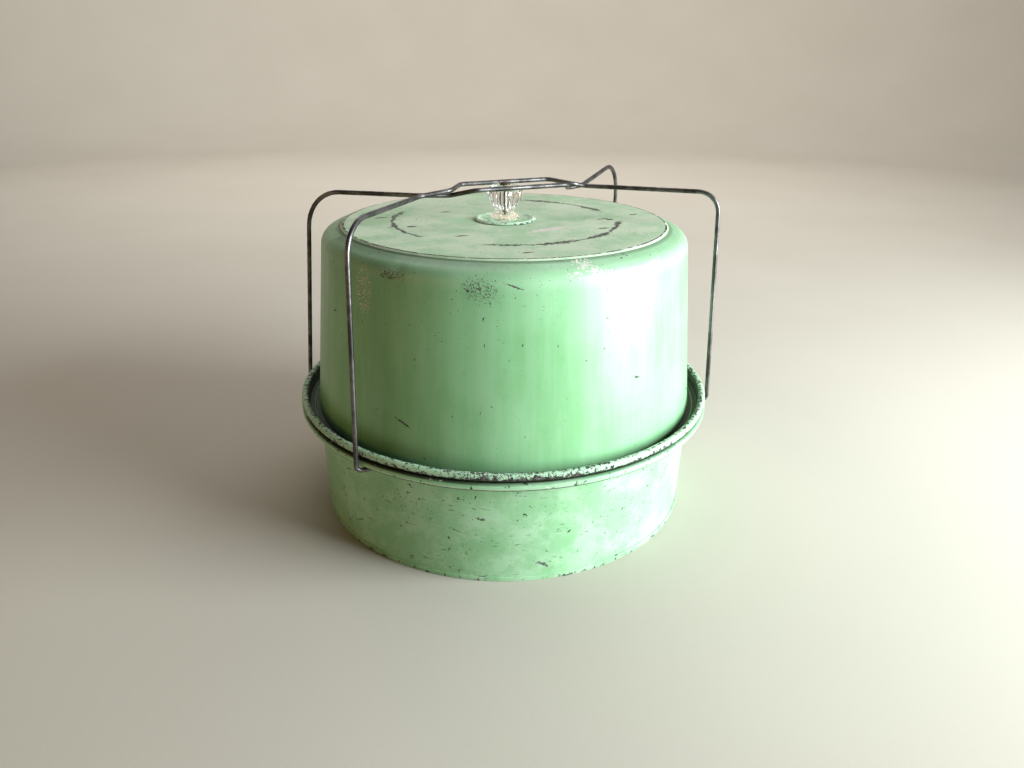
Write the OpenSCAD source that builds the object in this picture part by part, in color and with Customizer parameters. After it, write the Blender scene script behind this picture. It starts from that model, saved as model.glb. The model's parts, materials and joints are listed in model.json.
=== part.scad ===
// Two-tier cake and pie carrier: a drum for pies, a cake tray that nests in the
// drum's flange, a tall cover with a glass knob, and two wire bails that close
// over the cover and cross each other round the knob.
// Origin at the centre of the drum's underside, +Z up, +X along both bail hinges.

/* [Base drum] */
// Outside radius of the drum wall at the table
drum_foot_r = 133.6; // [133:0.1:134]
// Outside radius of the drum wall under the flange
drum_head_r = 134.8; // [134:0.1:135.4]
// Height of the underside of the flange
flange_z = 73; // [72.8:0.1:76]
// Radius of the circle that the flange bead is rolled on
base_bead_ring_r = 144.2; // [144.2:0.1:145]
// Thickness of the flange bead
base_bead_d = 4.4; // [4:0.1:4.6]
// Height of the seam round the foot of the drum
foot_seam_h = 3.2; // [2.5:0.1:4]

/* [Cake tray] */
// Outside radius of the upright tray wall
tray_wall_r = 141.7; // [141.4:0.1:141.9]
// Radius of the circle that the tray bead is rolled on
tray_bead_ring_r = 143.6; // [143.4:0.1:143.8]
// Thickness of the tray bead
tray_bead_d = 4.8; // [4.4:0.1:5]
// Height of the middle of the tray bead
tray_bead_z = 81.4; // [81.2:0.1:84]
// Radius of the ridge that keeps the cover centred
tray_ridge_r = 137.6; // [137.4:0.1:138.5]
// Height of that ridge
tray_ridge_h = 0.8; // [0.6:0.1:1]

/* [Cover] */
// Outside radius of the cover at its hem
cover_foot_r = 134.4; // [133.8:0.1:134.6]
// Lean of the cover wall, in degrees from upright
cover_lean = 5.77; // [5.5:0.01:6]
// Radius of the rounded shoulder
shoulder_r = 15; // [14:0.5:15.5]
// How far round the shoulder turns, in degrees above level
shoulder_turn = 72; // [70:1:74]
// Radius where the shoulder ledge meets the raised panel
ledge_r = 111.2; // [110.8:0.1:111.6]
// Height of the ledge at that radius
ledge_z = 196.4; // [196:0.1:196.6]
// Radius of the raised top panel
panel_r = 108.4; // [107:0.1:108.6]
// Height of the raised top panel
panel_z = 198.2; // [198:0.1:198.6]
// Height of the hem round the cover's mouth
cover_hem_h = 5; // [4:0.5:7]

/* [Knob] */
// Radius of the rosette under the knob
rosette_r = 21.3; // [21:0.1:22]
// Radius of the rosette's crest
rosette_crest_r = 19; // [18.6:0.1:19.2]
// Height of the crest above the panel
rosette_crest_h = 2.3; // [2:0.1:2.5]
// Height of the glass knob
knob_h = 21.4; // [20:0.1:22]
// Largest radius of the glass knob
knob_r = 11.7; // [11:0.1:12]
// Radius of the knob's foot
knob_foot_r = 9.3; // [9:0.1:10]
// Radius of the knob's waist
knob_waist_r = 7.6; // [7:0.1:7.8]
// Number of flutes pressed into the glass
flute_count = 14; // [12:1:16]
// Radius of the screw's shank
screw_r = 1.6; // [1.5:0.05:2.2]
// Radius of the screw's head
screw_head_r = 3.4; // [3.2:0.1:3.8]
// Width of the nut across its flats
nut_flats = 8; // [7.5:0.1:9]

/* [Bails] */
// Thickness of the bail wire
wire_d = 3; // [2.8:0.1:3]
// Distance of each bail hinge from the middle
hinge_y = 74.5; // [74:0.1:76]
// Height of the bail hinges
hinge_z = 71.3; // [70.8:0.1:71.4]
// Distance of each upright from the middle, at the foot
foot_x = 130; // [129.8:0.1:131]
// Distance of each shoulder bend from the middle, along the hinges
shoulder_x = 123.8; // [123:0.1:125]
// Distance of each shoulder bend from the middle, across the hinges
shoulder_y = 63.8; // [62:0.1:66]
// Height of the shoulder bends
bail_z = 217.6; // [217:0.1:219]
// How far the rear bail's shoulders stand below and above the mean height
rear_skew = 3.6; // [0:0.1:4]
// Distance from the middle to where the two bails come together
meet_x = 60; // [56:0.5:64]
// Height at which they come together
meet_z = 217.4; // [217:0.1:219]
// Distance from the middle to where the bails part to the left of the knob
part_left_x = 39; // [38:0.5:42]
// Distance from the middle to where the bails part to the right of the knob
part_right_x = 48; // [46:0.5:50]
// Height at which they part
part_z = 218; // [217.5:0.1:218.5]
// How far each wire rises or dips where the two cross
cross_rise = 1.9; // [1.8:0.05:2]
// Left end of the straight that passes the knob
eye_left_x = 27; // [26:0.5:30]
// Right end of that straight
eye_right_x = 40; // [38:0.5:42]
// Distance of that straight from the middle of the knob, to the middle of the wire
eye_y = 13.6; // [13.4:0.1:16]
// Height of that straight
eye_z = 220.9; // [220:0.1:222]
// Bend radius of the wire at the shoulders
shoulder_bend = 24; // [15:0.5:26]
// Bend radius of the wire beside the knob
bar_bend = 7; // [5:0.5:9]

/* [Sheet metal and wire] */
// Thickness of the sheet
sheet = 0.6; // [0.5:0.05:0.7]
// Gap left between parts that rest on each other
rest_gap = 0.1; // [0.05:0.05:0.2]
// Gap between the rolled bead and the wire inside it
bead_gap = 0.05; // [0.03:0.01:0.1]
// Radial clearance of a bail wire in its hole
hole_gap = 0.06; // [0.03:0.01:0.1]

/* [Hidden] */
$fn = 96;

paint = "darkseagreen";
worn_steel = "dimgray";

arc_steps = 12;
wire_r = wire_d / 2;
overlap = 0.6;
// A bend is drawn slightly thicker than the wire, and each straight ends just inside it.
bend_swell = 0.02;
splice = 0.2;

tray_floor_z = flange_z + sheet + rest_gap;
cover_z = tray_floor_z + sheet + rest_gap;

rosette_floor_z = panel_z + rest_gap;
gasket_z = rosette_floor_z + sheet;
gasket_h = 0.6;
gasket_r = 8.6;
glass_z = gasket_z + gasket_h;
glass_top_z = glass_z + knob_h;
top_washer_h = 0.4;
screw_head_z = glass_top_z + top_washer_h;
screw_head_h = 1.8;
screw_end_z = panel_z - 8;
inner_washer_r = 7;
inner_washer_h = 1;
inner_washer_z = panel_z - sheet - inner_washer_h;
nut_h = 3.2;
nut_z = inner_washer_z - nut_h;
bolt_gap = 0.2;

// Where the cover's wall ends and its shoulder starts, so that both meet smoothly.
lean_slope = tan(cover_lean);
shoulder_rise = ledge_z - shoulder_r * (sin(shoulder_turn) - sin(cover_lean));
ledge_run = (ledge_r - cover_foot_r + lean_slope * (shoulder_rise - cover_z)
    + shoulder_r * (cos(cover_lean) - cos(shoulder_turn)))
    / (lean_slope * cos(shoulder_turn) - sin(shoulder_turn));
wall_head_z = shoulder_rise - ledge_run * cos(shoulder_turn);
wall_head_r = cover_foot_r - lean_slope * (wall_head_z - cover_z);
shoulder_mid_r = wall_head_r - shoulder_r * cos(cover_lean);
shoulder_mid_z = wall_head_z - shoulder_r * sin(cover_lean);

// Points along an arc round [mid_r, mid_z], from one angle to another.
function arc(mid_r, mid_z, radius, from, to) = [
    for (i = [0 : arc_steps])
        let (a = from + (to - from) * i / arc_steps)
        [mid_r + radius * cos(a), mid_z + radius * sin(a)]
];

function unit(v) = v / norm(v);

// Length of straight wire that a bend of this radius takes up on each side of its corner.
function bend_reach(a, b, radius) = radius * tan(acos(a * b) / 2);

// Ring of rectangular section.
module ring(outer_r, inner_r, z, height) {
    translate([0, 0, z])
        difference() {
            cylinder(r = outer_r, h = height);
            translate([0, 0, -1])
                cylinder(r = inner_r, h = height + 2);
        }
}

// Section of a bead rolled round a wire.
module bead_section(ring_r, z, bead_d) {
    translate([ring_r, z])
        difference() {
            circle(d = bead_d, $fn = 48);
            circle(d = bead_d - 2 * sheet, $fn = 48);
        }
}

// Closed ring of wire that stiffens a bead.
module bead_wire(ring_r, z, bead_d) {
    rotate_extrude()
        translate([ring_r, z])
            circle(r = bead_d / 2 - sheet - bead_gap, $fn = 48);
}

// Straight length of wire between two points.
module straight(start, end) {
    run = end - start;
    axis = unit(run);
    side = abs(axis.z) < 0.9 ? unit(cross([0, 0, 1], axis)) : unit(cross([1, 0, 0], axis));
    up = cross(axis, side);
    multmatrix([
        [side.x, up.x, axis.x, start.x],
        [side.y, up.y, axis.y, start.y],
        [side.z, up.z, axis.z, start.z]
    ])
        cylinder(r = wire_r, h = norm(run), $fn = 32);
}

// Bend between two straights that would meet at a corner.
module bend(corner, a, b, radius) {
    turn = acos(a * b);
    normal = unit(cross(a, b));
    inward = cross(normal, a);
    mid = corner - a * bend_reach(a, b, radius) + inward * radius;
    multmatrix([
        [-inward.x, a.x, normal.x, mid.x],
        [-inward.y, a.y, normal.y, mid.y],
        [-inward.z, a.z, normal.z, mid.z]
    ])
        rotate_extrude(angle = turn, $fn = 96)
            translate([radius, 0])
                circle(r = wire_r + bend_swell, $fn = 32);
}

// Wire along a row of corners, each rounded to its own bend radius.
module bent_wire(points, bends) {
    last = len(points) - 1;
    aims = [for (i = [0 : last - 1]) unit(points[i + 1] - points[i])];
    reach = [
        for (i = [0 : last])
            i == 0 || i == last ? 0 : bend_reach(aims[i - 1], aims[i], bends[i])
    ];
    for (i = [0 : last - 1])
        straight(
            points[i] + aims[i] * (i == 0 ? 0 : reach[i] - splice),
            points[i + 1] - aims[i] * (i == last - 1 ? 0 : reach[i + 1] - splice)
        );
    for (i = [1 : last - 1])
        bend(points[i], aims[i - 1], aims[i], bends[i]);
}

module base_drum() {
    color(paint)
        difference() {
            rotate_extrude(angle = 360, $fn = 180) {
                polygon([
                    [drum_foot_r, foot_seam_h - sheet - overlap],
                    [drum_head_r, flange_z + sheet],
                    [drum_head_r - sheet, flange_z + sheet],
                    [drum_foot_r - sheet, foot_seam_h - sheet - overlap]
                ]);
                translate([drum_head_r - sheet, flange_z])
                    square([base_bead_ring_r - overlap - drum_head_r + sheet, sheet]);
                bead_section(base_bead_ring_r, flange_z + base_bead_d / 2, base_bead_d);
            }
            for (side = [-1, 1])
                translate([0, side * hinge_y, hinge_z])
                    rotate([0, 90, 0])
                        cylinder(r = wire_r + hole_gap, h = 2 * drum_head_r, center = true, $fn = 48);
        }
}

// The bottom disc stands on its own seam, which wraps the foot of the drum wall.
module base_bottom() {
    wrap_r = drum_foot_r + rest_gap;
    color(paint)
        rotate_extrude(angle = 360, $fn = 180) {
            translate([wrap_r, 0])
                square([sheet, foot_seam_h]);
            translate([drum_foot_r - 2 * sheet - rest_gap, 0])
                square([wrap_r - drum_foot_r + 2 * sheet + rest_gap + sheet, sheet]);
            translate([drum_foot_r - 2 * sheet - rest_gap, 0])
                square([sheet, foot_seam_h]);
            translate([0, foot_seam_h - sheet])
                square([drum_foot_r - sheet - rest_gap, sheet]);
        }
}

module base_rim_wire() {
    color(worn_steel)
        bead_wire(base_bead_ring_r, flange_z + base_bead_d / 2, base_bead_d);
}

module cake_tray() {
    color(paint)
        rotate_extrude(angle = 360, $fn = 180) {
            polygon([
                [0, tray_floor_z],
                [tray_wall_r, tray_floor_z],
                [tray_wall_r, tray_bead_z],
                [tray_wall_r - sheet, tray_bead_z],
                [tray_wall_r - sheet, tray_floor_z + sheet],
                each arc(tray_ridge_r, tray_floor_z + sheet, tray_ridge_h, 0, 180),
                [0, tray_floor_z + sheet]
            ]);
            bead_section(tray_bead_ring_r, tray_bead_z, tray_bead_d);
        }
}

module tray_rim_wire() {
    color(worn_steel)
        bead_wire(tray_bead_ring_r, tray_bead_z, tray_bead_d);
}

module cover_shell() {
    hem_r = cover_foot_r - lean_slope * cover_hem_h;
    color(paint)
        difference() {
            rotate_extrude(angle = 360, $fn = 180)
                polygon([
                    [0, panel_z],
                    [panel_r, panel_z],
                    [ledge_r, ledge_z],
                    each arc(shoulder_mid_r, shoulder_mid_z, shoulder_r, shoulder_turn, cover_lean),
                    [cover_foot_r, cover_z],
                    [cover_foot_r - 2 * sheet, cover_z],
                    [hem_r - 2 * sheet, cover_z + cover_hem_h],
                    [hem_r - sheet, cover_z + cover_hem_h],
                    each arc(shoulder_mid_r, shoulder_mid_z, shoulder_r - sheet, cover_lean, shoulder_turn),
                    [ledge_r - sheet / 2, ledge_z - sheet],
                    [panel_r - sheet / 2, panel_z - sheet],
                    [0, panel_z - sheet]
                ]);
            translate([0, 0, panel_z - sheet - 1])
                cylinder(r = screw_r + bolt_gap, h = sheet + 2, $fn = 48);
        }
}

module knob_rosette() {
    crest_z = panel_z + rosette_crest_h;
    well_r = rosette_crest_r - 3;
    color(paint)
        rotate_extrude(angle = 360, $fn = 96)
            polygon([
                [screw_r + bolt_gap, rosette_floor_z],
                [well_r + sheet, rosette_floor_z],
                [rosette_crest_r, crest_z - sheet],
                [rosette_r - sheet, rosette_floor_z],
                [rosette_r, rosette_floor_z],
                [rosette_r, rosette_floor_z + sheet / 2],
                each arc(rosette_crest_r, crest_z - sheet, sheet, 30, 150),
                [well_r, gasket_z],
                [screw_r + bolt_gap, gasket_z]
            ]);
}

module knob_gasket() {
    color("sienna")
        ring(gasket_r, screw_r + bolt_gap, gasket_z, gasket_h);
}

module knob_glass() {
    bulb_z = glass_z + knob_h * 0.74;
    waist_z = glass_z + knob_h * 0.28;
    lobe_ring_r = knob_r * 0.61;
    lobe_r = knob_r - lobe_ring_r;
    bulb_mid_r = knob_r - 6.4;
    color("aliceblue", 0.5)
        difference() {
            intersection() {
                rotate_extrude(angle = 360, $fn = 96)
                    polygon([
                        [0, glass_z],
                        [knob_foot_r - 0.6, glass_z],
                        each arc(knob_foot_r - 0.8, glass_z + 0.8, 0.8, -60, 90),
                        [knob_waist_r + 0.8, waist_z - 1.6],
                        each arc(knob_waist_r + 1.4, waist_z, 1.4, 220, 150),
                        each arc(bulb_mid_r, bulb_z, 6.4, -50, 52),
                        [knob_r - 3.2, glass_top_z],
                        [0, glass_top_z]
                    ]);
                translate([0, 0, glass_z - 1])
                    linear_extrude(height = knob_h + 2)
                        union() {
                            circle(r = lobe_ring_r + 1, $fn = 48);
                            for (i = [0 : flute_count - 1])
                                rotate(i * 360 / flute_count)
                                    translate([lobe_ring_r, 0])
                                        circle(r = lobe_r, $fn = 48);
                        }
            }
            translate([0, 0, glass_z - 1])
                cylinder(r = screw_r + bolt_gap, h = knob_h + 2, $fn = 48);
        }
}

module knob_top_washer() {
    color("sienna")
        ring(screw_head_r + 0.5, screw_r + bolt_gap, glass_top_z, top_washer_h);
}

module knob_screw() {
    slot_w = 0.9;
    slot_depth = 0.9;
    color(worn_steel)
        difference() {
            rotate_extrude(angle = 360, $fn = 64)
                polygon([
                    [0, screw_end_z],
                    [screw_r - 0.4, screw_end_z],
                    [screw_r, screw_end_z + 0.6],
                    [screw_r, screw_head_z],
                    [screw_head_r, screw_head_z],
                    [screw_head_r, screw_head_z + screw_head_h * 0.4],
                    [screw_head_r * 0.75, screw_head_z + screw_head_h * 0.85],
                    [screw_head_r * 0.4, screw_head_z + screw_head_h],
                    [0, screw_head_z + screw_head_h]
                ]);
            translate([-screw_head_r - 1, -slot_w / 2, screw_head_z + screw_head_h - slot_depth])
                cube([2 * screw_head_r + 2, slot_w, slot_depth + 1]);
        }
}

module knob_inner_washer() {
    color(worn_steel)
        ring(inner_washer_r, screw_r + bolt_gap, inner_washer_z, inner_washer_h);
}

module knob_nut() {
    color(worn_steel)
        difference() {
            translate([0, 0, nut_z])
                cylinder(d = nut_flats / cos(30), h = nut_h, $fn = 6);
            translate([0, 0, nut_z - 1])
                cylinder(r = screw_r + hole_gap / 2, h = nut_h + 2, $fn = 48);
        }
}

// One bail: hooked feet, leaning uprights, and bars that pass the knob on its far side.
// The front bail crosses over the rear one on each side of the knob.
// The face is -1 for the front and 1 for the rear; skew tips the shoulders.
module bail(face, skew) {
    tip_x = 100;
    tip_reach = 6.5;
    foot_bend = 3.2;
    tip_bend = 3;
    side = face * (wire_r + rest_gap);
    foot = [
        [tip_x, face * (hinge_y + tip_reach), hinge_z],
        [tip_x, face * hinge_y, hinge_z],
        [foot_x, face * hinge_y, hinge_z]
    ];
    points = [
        for (p = foot) [-p.x, p.y, p.z],
        [-shoulder_x, face * shoulder_y, bail_z - skew],
        [-meet_x, side, meet_z],
        [-part_left_x, side, part_z - face * cross_rise],
        [-eye_left_x, -face * eye_y, eye_z],
        [eye_right_x, -face * eye_y, eye_z],
        [part_right_x, side, part_z - face * cross_rise],
        [meet_x, side, meet_z],
        [shoulder_x, face * shoulder_y, bail_z + skew],
        for (i = [2 : -1 : 0]) foot[i]
    ];
    foot_bends = [0, tip_bend, foot_bend];
    bar_bends = [for (i = [0 : 5]) bar_bend];
    all_bends = [
        each foot_bends, shoulder_bend, each bar_bends, shoulder_bend, for (i = [2 : -1 : 0]) foot_bends[i]
    ];
    color(worn_steel)
        bent_wire(points, all_bends);
}

module front_bail() {
    bail(-1, 0);
}

module rear_bail() {
    bail(1, rear_skew);
}

base_drum();
base_bottom();
base_rim_wire();
cake_tray();
tray_rim_wire();
cover_shell();
knob_rosette();
knob_gasket();
knob_glass();
knob_top_washer();
knob_screw();
knob_inner_washer();
knob_nut();
front_bail();
rear_bail();
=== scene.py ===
"""Worn green tin cake and pie carrier: the looks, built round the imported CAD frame."""
import json
import math

import bmesh
import bpy
import numpy as np
from mathutils import Matrix, Vector


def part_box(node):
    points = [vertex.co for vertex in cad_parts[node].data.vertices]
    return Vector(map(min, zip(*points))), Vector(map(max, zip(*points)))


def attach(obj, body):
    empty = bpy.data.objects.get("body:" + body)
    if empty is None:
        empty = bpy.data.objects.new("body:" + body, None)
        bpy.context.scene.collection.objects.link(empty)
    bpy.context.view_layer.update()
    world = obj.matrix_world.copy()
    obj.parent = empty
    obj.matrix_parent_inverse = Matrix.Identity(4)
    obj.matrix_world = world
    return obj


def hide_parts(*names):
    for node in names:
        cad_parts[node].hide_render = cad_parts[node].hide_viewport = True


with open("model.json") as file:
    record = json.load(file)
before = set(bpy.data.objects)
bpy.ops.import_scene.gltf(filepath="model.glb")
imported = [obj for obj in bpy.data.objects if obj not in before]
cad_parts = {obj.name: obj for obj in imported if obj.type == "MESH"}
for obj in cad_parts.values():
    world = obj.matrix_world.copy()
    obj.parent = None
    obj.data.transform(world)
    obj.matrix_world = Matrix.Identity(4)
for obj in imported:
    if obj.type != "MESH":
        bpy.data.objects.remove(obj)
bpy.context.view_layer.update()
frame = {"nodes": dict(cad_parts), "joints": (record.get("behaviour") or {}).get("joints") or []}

MM = 0.001
TAU = 2 * math.pi

# ---------------------------------------------------------------- dimensions, in millimetres
def node_mm(name):
    """Lowest and highest corners of a CAD node, in millimetres."""
    low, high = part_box(name)
    return low / MM, high / MM


DRUM_HIGH = node_mm("base_drum")[1]
BOTTOM_HIGH = node_mm("base_bottom")[1]
TRAY_LOW, TRAY_HIGH = node_mm("cake_tray")
COVER_LOW, COVER_HIGH = node_mm("cover_shell")
JOINTS = {joint["name"]: joint for joint in frame["joints"]}

SHEET = 0.6
REST_GAP = 0.1
TURNS = 360

DRUM_FOOT_R = BOTTOM_HIGH.x - SHEET - REST_GAP
DRUM_HEAD_R = DRUM_FOOT_R + 1.2
BASE_BEAD_R = 2.2
BASE_BEAD_RING = DRUM_HIGH.x - BASE_BEAD_R
BASE_BEAD_Z = DRUM_HIGH.z - BASE_BEAD_R
FLANGE_Z = DRUM_HIGH.z - 2 * BASE_BEAD_R

TRAY_BEAD_R = 2.4
TRAY_BEAD_RING = TRAY_HIGH.x - TRAY_BEAD_R
TRAY_BEAD_Z = TRAY_HIGH.z - TRAY_BEAD_R
TRAY_WALL_R = TRAY_BEAD_RING - TRAY_BEAD_R
TRAY_RIDGE_R = 137.6

PANEL_R = 108.4
PANEL_Z = COVER_HIGH.z
LEDGE_R = 111.2
LEDGE_DROP = 1.8
LEDGE_SLOPE = math.radians(18)
COVER_LEAN = math.radians(5.77)
SHOULDER_R = 15.0
SCREW_R = 1.6

WIRE_R = 1.5
HINGE_Y = abs(JOINTS["front_bail_swing"]["pos_m"][1]) / MM
HINGE_Z = JOINTS["front_bail_swing"]["pos_m"][2] / MM
FOOT_X = node_mm("front_bail")[1].x - WIRE_R
HOOK_X = 100.0
HOOK_REACH = 6.5

# Radius at which distances round the walls are measured for their wear.
WALL_R = 130.0
# Direction of the side that is shown to the camera, in degrees.
FRONT = -115
# Height where the wall's paint gives way to the shoulder's, which has more wear.
SHOULDER_PAINT_Z = 160.0
# Radius of the ring that a plate or tin has scratched on the panel.
RING_R = 76.0


# ---------------------------------------------------------------- outlines
def rounded(points, fillets, steps=6):
    """A row of (r, z) points with its corners rounded to the given radii."""
    out = [points[0]]
    for before, corner, after, radius in zip(points, points[1:], points[2:], fillets):
        a = Vector(corner) - Vector(before)
        b = Vector(after) - Vector(corner)
        turn = a.angle(b, 0.0)
        if radius <= 0 or turn < 0.01:
            out.append(corner)
            continue
        reach = min(radius * math.tan(turn / 2), 0.48 * a.length, 0.48 * b.length)
        radius = reach / math.tan(turn / 2)
        a.normalize()
        b.normalize()
        side = 1 if a.x * b.y - a.y * b.x > 0 else -1
        inward = Vector((-a.y, a.x)) * side
        mid = Vector(corner) - a * reach + inward * radius
        for i in range(steps + 1):
            swing = turn * i / steps
            out.append(tuple(mid - inward * radius * math.cos(swing) + a * radius * math.sin(swing)))
    out.append(points[-1])
    return out


def arc(mid_r, mid_z, radius, start, end, steps):
    """Points along an arc in the (r, z) plane, angles in degrees."""
    angles = np.radians(np.linspace(start, end, steps + 1))
    return [(mid_r + radius * math.cos(a), mid_z + radius * math.sin(a)) for a in angles]


def refined(path, step):
    """The same path with no stretch longer than step."""
    out = [path[0]]
    for a, b in zip(path, path[1:]):
        count = max(1, math.ceil(math.dist(a, b) / step))
        for i in range(1, count + 1):
            t = i / count
            out.append((a[0] + (b[0] - a[0]) * t, a[1] + (b[1] - a[1]) * t))
    return out


def thickened(path, thickness, side):
    """Closed outline of a sheet whose one face is the path; side 1 puts the metal to its left."""
    p = np.array(path)
    run = np.gradient(p, axis=0)
    run /= np.linalg.norm(run, axis=1)[:, None]
    across = np.stack([-run[:, 1], run[:, 0]], axis=1) * side * thickness
    back = p + across
    back[:, 0] = np.maximum(back[:, 0], 0)
    return [tuple(q) for q in p] + [tuple(q) for q in back[::-1]]


# ---------------------------------------------------------------- meshes
def finish_mesh(mesh, sharp_degrees=40):
    """Faces point outwards, curves shade smoothly and folds stay crisp."""
    work = bmesh.new()
    work.from_mesh(mesh)
    bmesh.ops.remove_doubles(work, verts=work.verts, dist=1e-7)
    bmesh.ops.dissolve_degenerate(work, edges=work.edges, dist=1e-7)
    bmesh.ops.recalc_face_normals(work, faces=work.faces)
    work.to_mesh(mesh)
    work.free()
    mesh.shade_smooth()
    mesh.set_sharp_from_angle(angle=math.radians(sharp_degrees))


def new_piece(name, vertices, faces, body, stands_for, material, sharp_degrees=40):
    mesh = bpy.data.meshes.new(name)
    mesh.from_pydata([tuple(v) for v in vertices], [], faces)
    finish_mesh(mesh, sharp_degrees)
    piece = bpy.data.objects.new(name, mesh)
    bpy.context.scene.collection.objects.link(piece)
    mesh.materials.append(material)
    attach(piece, body)
    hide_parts(*stands_for)
    return piece


def lathe(outline, shape=None, turns=TURNS):
    """Vertices (in metres) and faces of a closed (r, z) outline in millimetres turned about Z."""
    angles = np.arange(turns) * TAU / turns
    vertices = []
    rings = []
    for r, z in outline:
        if r < 1e-6:
            rings.append([len(vertices)])
            vertices.append((0.0, 0.0, z * MM))
            continue
        radius = np.full(turns, float(r))
        height = np.full(turns, float(z))
        if shape:
            radius, height = shape(angles, radius, height)
        rings.append(list(range(len(vertices), len(vertices) + turns)))
        vertices += list(zip(radius * np.cos(angles) * MM, radius * np.sin(angles) * MM, height * MM))
    faces = []
    for a, b in zip(rings, rings[1:] + rings[:1]):
        for i in range(turns):
            j = (i + 1) % turns
            if len(a) > 1 and len(b) > 1:
                faces.append((a[i], a[j], b[j], b[i]))
            elif len(a) > 1:
                faces.append((a[i], a[j], b[0]))
            elif len(b) > 1:
                faces.append((a[0], b[j], b[i]))
    return vertices, faces


def rounded_space(points, fillets, steps=10):
    """A row of points in space with its corners rounded, for bent wire."""
    out = [points[0]]
    for before, corner, after, radius in zip(points, points[1:], points[2:], fillets):
        a = (corner - before).normalized()
        b = (after - corner).normalized()
        turn = a.angle(b)
        reach = min(radius * math.tan(turn / 2), 0.47 * (corner - before).length, 0.47 * (after - corner).length)
        radius = reach / math.tan(turn / 2)
        inward = (b - a * a.dot(b)).normalized()
        mid = corner - a * reach + inward * radius
        for i in range(steps + 1):
            swing = turn * i / steps
            out.append(mid - inward * radius * math.cos(swing) + a * radius * math.sin(swing))
    out.append(points[-1])
    return out


def tube(path, radius, sides=20, step=2.0):
    """Vertices (in metres) and faces of a round wire along a path in millimetres."""
    dense = [path[0]]
    for a, b in zip(path, path[1:]):
        count = max(1, math.ceil((b - a).length / step))
        dense += [a.lerp(b, i / count) for i in range(1, count + 1)]
    aims = [(b - a).normalized() for a, b in zip(dense, dense[1:])]
    aims = [aims[0]] + [(a + b).normalized() for a, b in zip(aims, aims[1:])] + [aims[-1]]
    side = aims[0].orthogonal().normalized()
    vertices = []
    faces = []
    travelled = 0.0
    cap = [(-0.85, 0.45), (-0.5, 0.85), (0.0, 1.0)]
    rings = [(dense[0] + aims[0] * radius * (back + 0.85), aims[0], width) for back, width in cap[:-1]]
    rings += [(p, aim, 1.0) for p, aim in zip(dense[1:-1], aims[1:-1])]
    rings += [(dense[-1] - aims[-1] * radius * (back + 0.85), aims[-1], width) for back, width in reversed(cap[:-1])]
    previous = None
    for point, aim, width in rings:
        side = (side - aim * side.dot(aim)).normalized()
        up = aim.cross(side)
        if previous is not None:
            travelled += (point - previous).length
        previous = point
        swell = 1 + 0.012 * math.sin(travelled * 0.9) + 0.010 * math.sin(travelled * 2.3 + 1.0)
        for k in range(sides):
            angle = TAU * k / sides
            offset = side * math.cos(angle) + up * math.sin(angle)
            vertices.append((point + offset * radius * width * swell) * MM)
    for i in range(len(rings) - 1):
        for k in range(sides):
            n = (k + 1) % sides
            faces.append((i * sides + k, i * sides + n, (i + 1) * sides + n, (i + 1) * sides + k))
    last = (len(rings) - 1) * sides
    faces.append(tuple(range(sides - 1, -1, -1)))
    faces.append(tuple(last + k for k in range(sides)))
    return vertices, faces


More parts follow.
